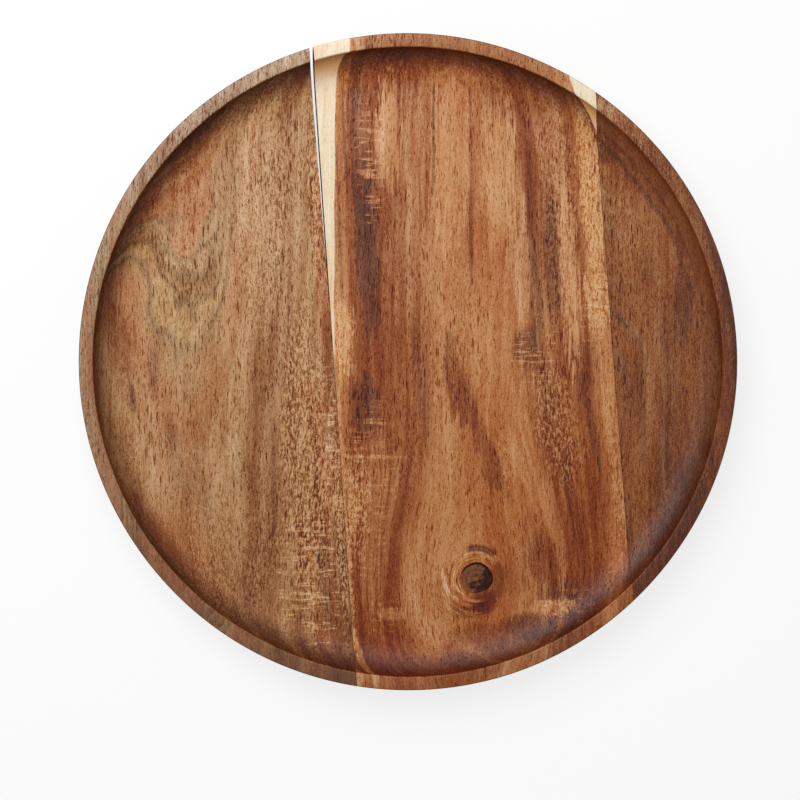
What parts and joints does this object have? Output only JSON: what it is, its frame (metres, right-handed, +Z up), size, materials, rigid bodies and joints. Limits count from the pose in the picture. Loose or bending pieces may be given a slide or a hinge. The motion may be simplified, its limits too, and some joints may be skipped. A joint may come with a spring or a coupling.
{
  "type": "wooden plate",
  "caption": "Round shallow hardwood plate turned from boards glued edge to edge, with a narrow flat rim, a coved dish and a rounded underside.",
  "frame": {"origin": "centre of the flat base, where the plate stands on a table", "axes": "+Z up out of the dish, Y along the grain and the seams, +X from the left board to the right board"},
  "size_m": [0.3, 0.3, 0.019],
  "materials": {
    "left_board_wood": "golden brown acacia with open pores and swirling figure, satin oil",
    "centre_board_wood": "orange brown acacia with dark streaks and pale sapwood edges, satin oil",
    "right_board_wood": "dark brown acacia with open pores, satin oil",
    "knot_wood": "dark checked branch wood, satin oil",
    "bark": "black rough bark",
    "glue_film": "dark dried wood glue"
  },
  "bodies": {
    "root": {"left_board": "left_board_wood", "centre_board": "centre_board_wood", "right_board": "right_board_wood", "left_glue_line": "glue_film", "right_glue_line": "glue_film", "knot": "knot_wood", "knot_bark": "bark"}
  },
  "joints": []
}
